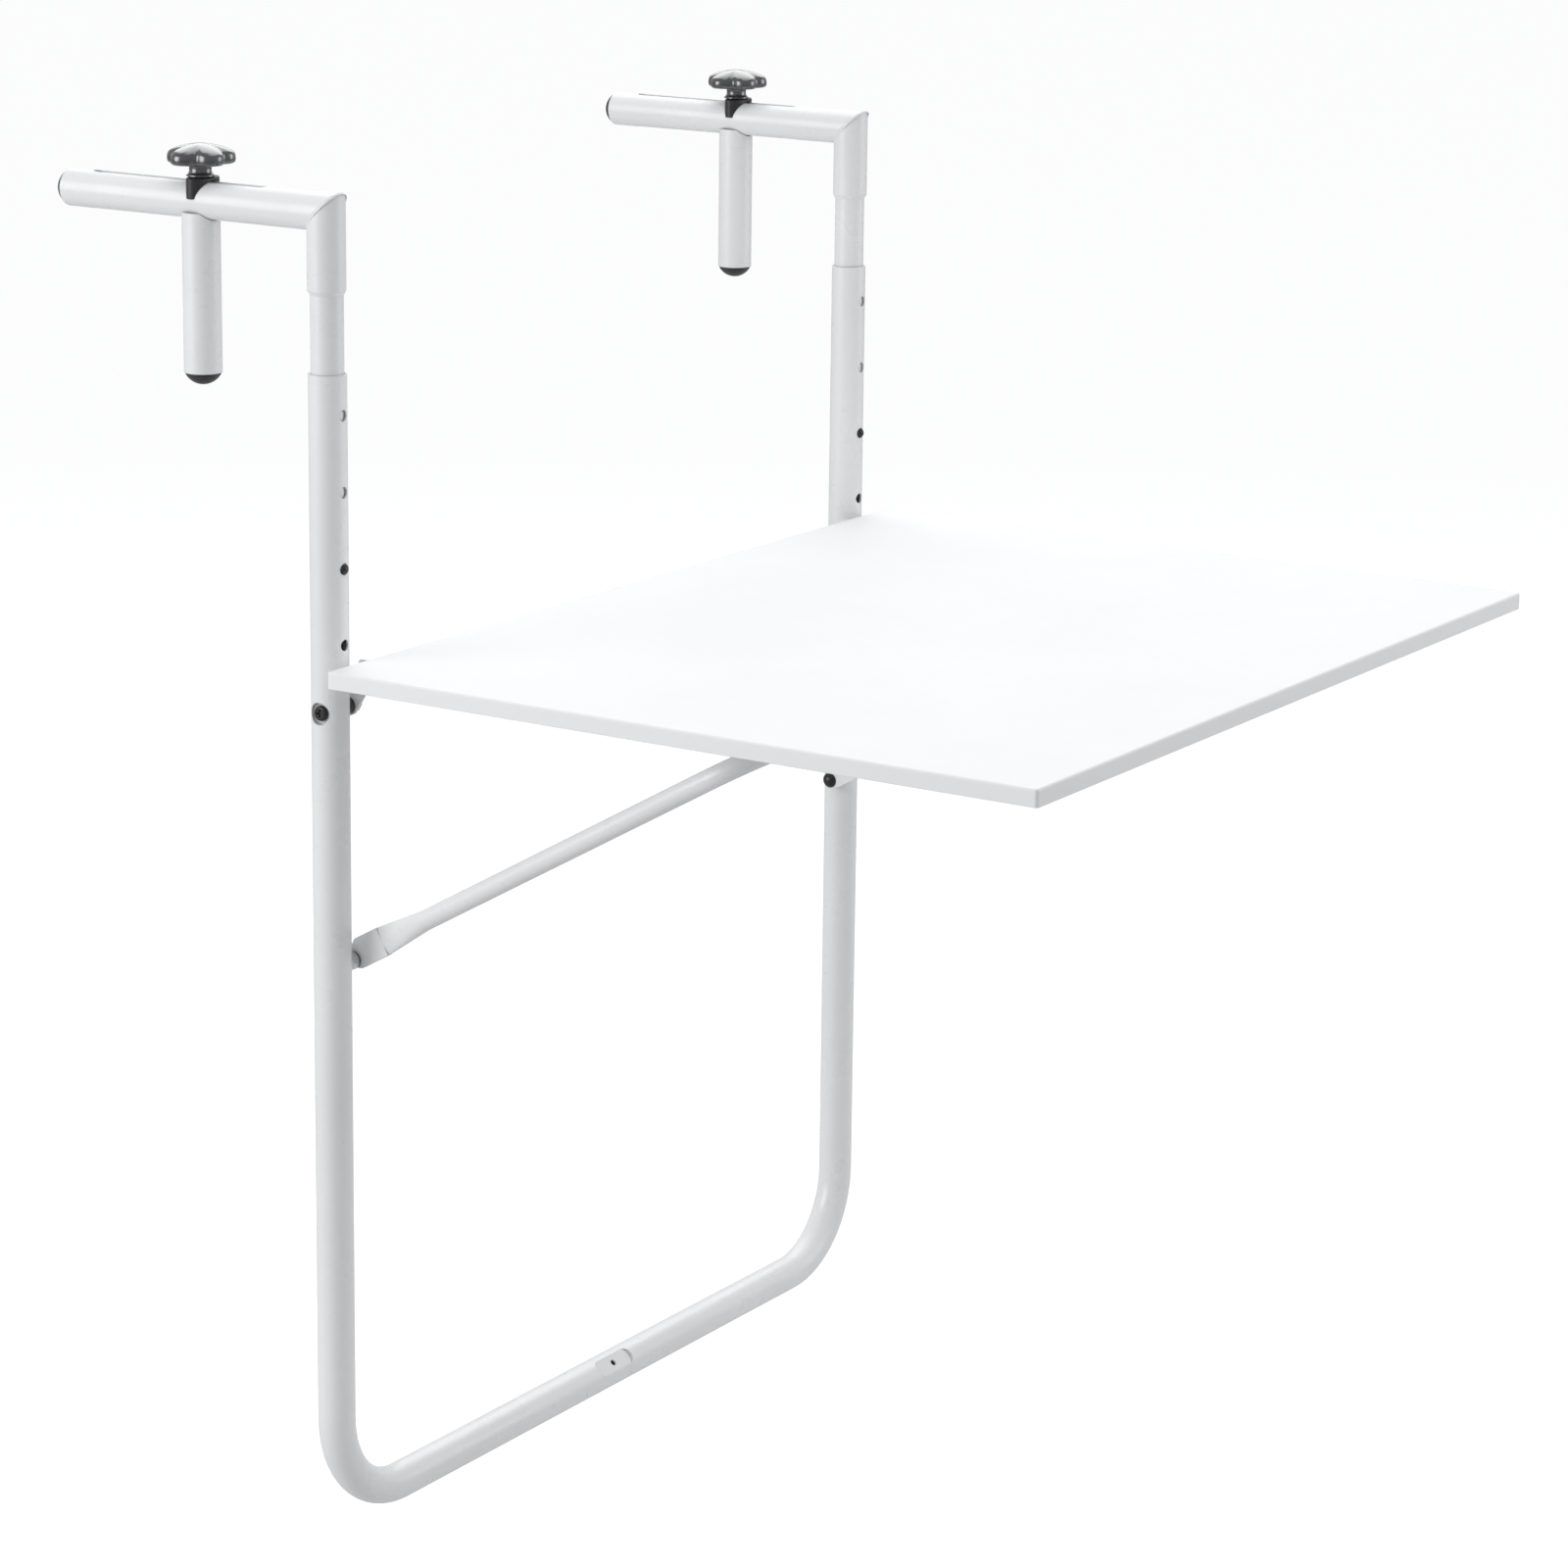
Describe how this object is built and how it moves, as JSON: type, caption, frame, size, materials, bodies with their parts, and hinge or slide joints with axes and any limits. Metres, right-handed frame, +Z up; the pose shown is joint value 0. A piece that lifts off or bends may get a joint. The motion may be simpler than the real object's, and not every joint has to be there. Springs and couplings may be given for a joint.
{
  "type": "balcony railing bar table",
  "caption": "Folding sheet-steel table on a bent tube frame that hangs on a balcony railing by height-adjustable hooks with screw clamps, its top propped by a hinged bar.",
  "frame": {"origin": "the railing's corner: midway between the hooks, at the back of the uprights and the underside of the hook arms", "axes": "+X along the railing towards the right-hand hook, +Y over the railing, +Z up"},
  "size_m": [0.6, 0.6695, 0.8171],
  "materials": {
    "white_powder_coat": "smooth semi-gloss powder coat",
    "black_plastic": "moulded, fine grain",
    "black_gloss_plastic": "moulded, glossy",
    "black_steel": "blackened, satin",
    "plated_steel": "zinc plated, satin"
  },
  "bodies": {
    "frame": {"u_frame": "white_powder_coat", "hinge_spacer_left": "black_plastic", "hinge_spacer_right": "black_plastic", "hinge_bolt_left": "black_steel", "hinge_bolt_right": "black_steel", "hinge_nut_left": "plated_steel", "hinge_nut_right": "plated_steel", "pivot_washer_left": "black_plastic", "pivot_washer_right": "black_plastic", "pivot_spacer_left": "plated_steel", "pivot_spacer_right": "plated_steel", "pivot_insert_left": "plated_steel", "pivot_insert_right": "plated_steel", "pivot_bolt_left": "black_steel", "pivot_bolt_right": "black_steel"},
    "hook_left": {"hook_upright_left": "white_powder_coat", "hook_arm_left": "white_powder_coat", "arm_plug_left": "black_plastic", "button_spring_left": "plated_steel"},
    "button_left": {"snap_button_left": "black_steel"},
    "clamp_left": {"clamp_leg_left": "white_powder_coat", "leg_plug_left": "black_plastic", "leg_nut_left": "plated_steel", "clamp_saddle_left": "black_plastic"},
    "knob_left": {"clamp_knob_left": "black_gloss_plastic", "knob_stud_left": "plated_steel"},
    "hook_right": {"hook_upright_right": "white_powder_coat", "hook_arm_right": "white_powder_coat", "arm_plug_right": "black_plastic", "button_spring_right": "plated_steel"},
    "button_right": {"snap_button_right": "black_steel"},
    "clamp_right": {"clamp_leg_right": "white_powder_coat", "leg_plug_right": "black_plastic", "leg_nut_right": "plated_steel", "clamp_saddle_right": "black_plastic"},
    "knob_right": {"clamp_knob_right": "black_gloss_plastic", "knob_stud_right": "plated_steel"},
    "top": {"tabletop": "white_powder_coat", "bracket_rivets": "plated_steel", "catch_screws": "plated_steel", "top_stiffener_left": "white_powder_coat", "top_stiffener_right": "white_powder_coat", "hinge_bracket_left": "white_powder_coat", "hinge_bracket_right": "white_powder_coat", "bar_catch_left": "black_plastic", "bar_catch_right": "black_plastic"},
    "support": {"support_bar": "white_powder_coat"}
  },
  "joints": [
    {"name": "hook_slide_left", "type": "slide", "parent": "frame", "child": "hook_left", "axis": [0, 0, 1], "range_m": [-0.044, 0.088], "deforming": ["snap_button_left"]},
    {"name": "button_press_left", "type": "slide", "parent": "hook_left", "child": "button_left", "axis": [0, 1, 0], "range_m": [0, 0.0036], "stiffness_N_per_m": 1500, "springref_m": -0.001, "deforming": ["button_spring_left"]},
    {"name": "clamp_slide_left", "type": "slide", "parent": "hook_left", "child": "clamp_left", "axis": [0, 1, 0], "range_m": [-0.045, 0.075]},
    {"name": "knob_turn_left", "type": "hinge", "parent": "clamp_left", "child": "knob_left", "pos_m": [-0.276, 0.079, 0.03], "axis": [0, 0, 1], "range_deg": [0, 720]},
    {"name": "hook_slide_right", "type": "slide", "parent": "frame", "child": "hook_right", "axis": [0, 0, 1], "range_m": [-0.044, 0.088], "deforming": ["snap_button_right"]},
    {"name": "button_press_right", "type": "slide", "parent": "hook_right", "child": "button_right", "axis": [0, 1, 0], "range_m": [0, 0.0036], "stiffness_N_per_m": 1500, "springref_m": -0.001, "deforming": ["button_spring_right"]},
    {"name": "clamp_slide_right", "type": "slide", "parent": "hook_right", "child": "clamp_right", "axis": [0, 1, 0], "range_m": [-0.045, 0.075]},
    {"name": "knob_turn_right", "type": "hinge", "parent": "clamp_right", "child": "knob_right", "pos_m": [0.276, 0.079, 0.03], "axis": [0, 0, 1], "range_deg": [0, 720]},
    {"name": "top_fold", "type": "hinge", "parent": "frame", "child": "top", "pos_m": [0, -0.011, -0.2745], "axis": [1, 0, 0], "range_deg": [0, 90]},
    {"name": "support_fold", "type": "hinge", "parent": "frame", "child": "support", "pos_m": [0, -0.014, -0.4255], "axis": [1, 0, 0], "range_deg": [0, 119]}
  ],
  "couplings": [
    {"joint": "support_fold", "follows": "top_fold", "ratio": 1.3222}
  ]
}
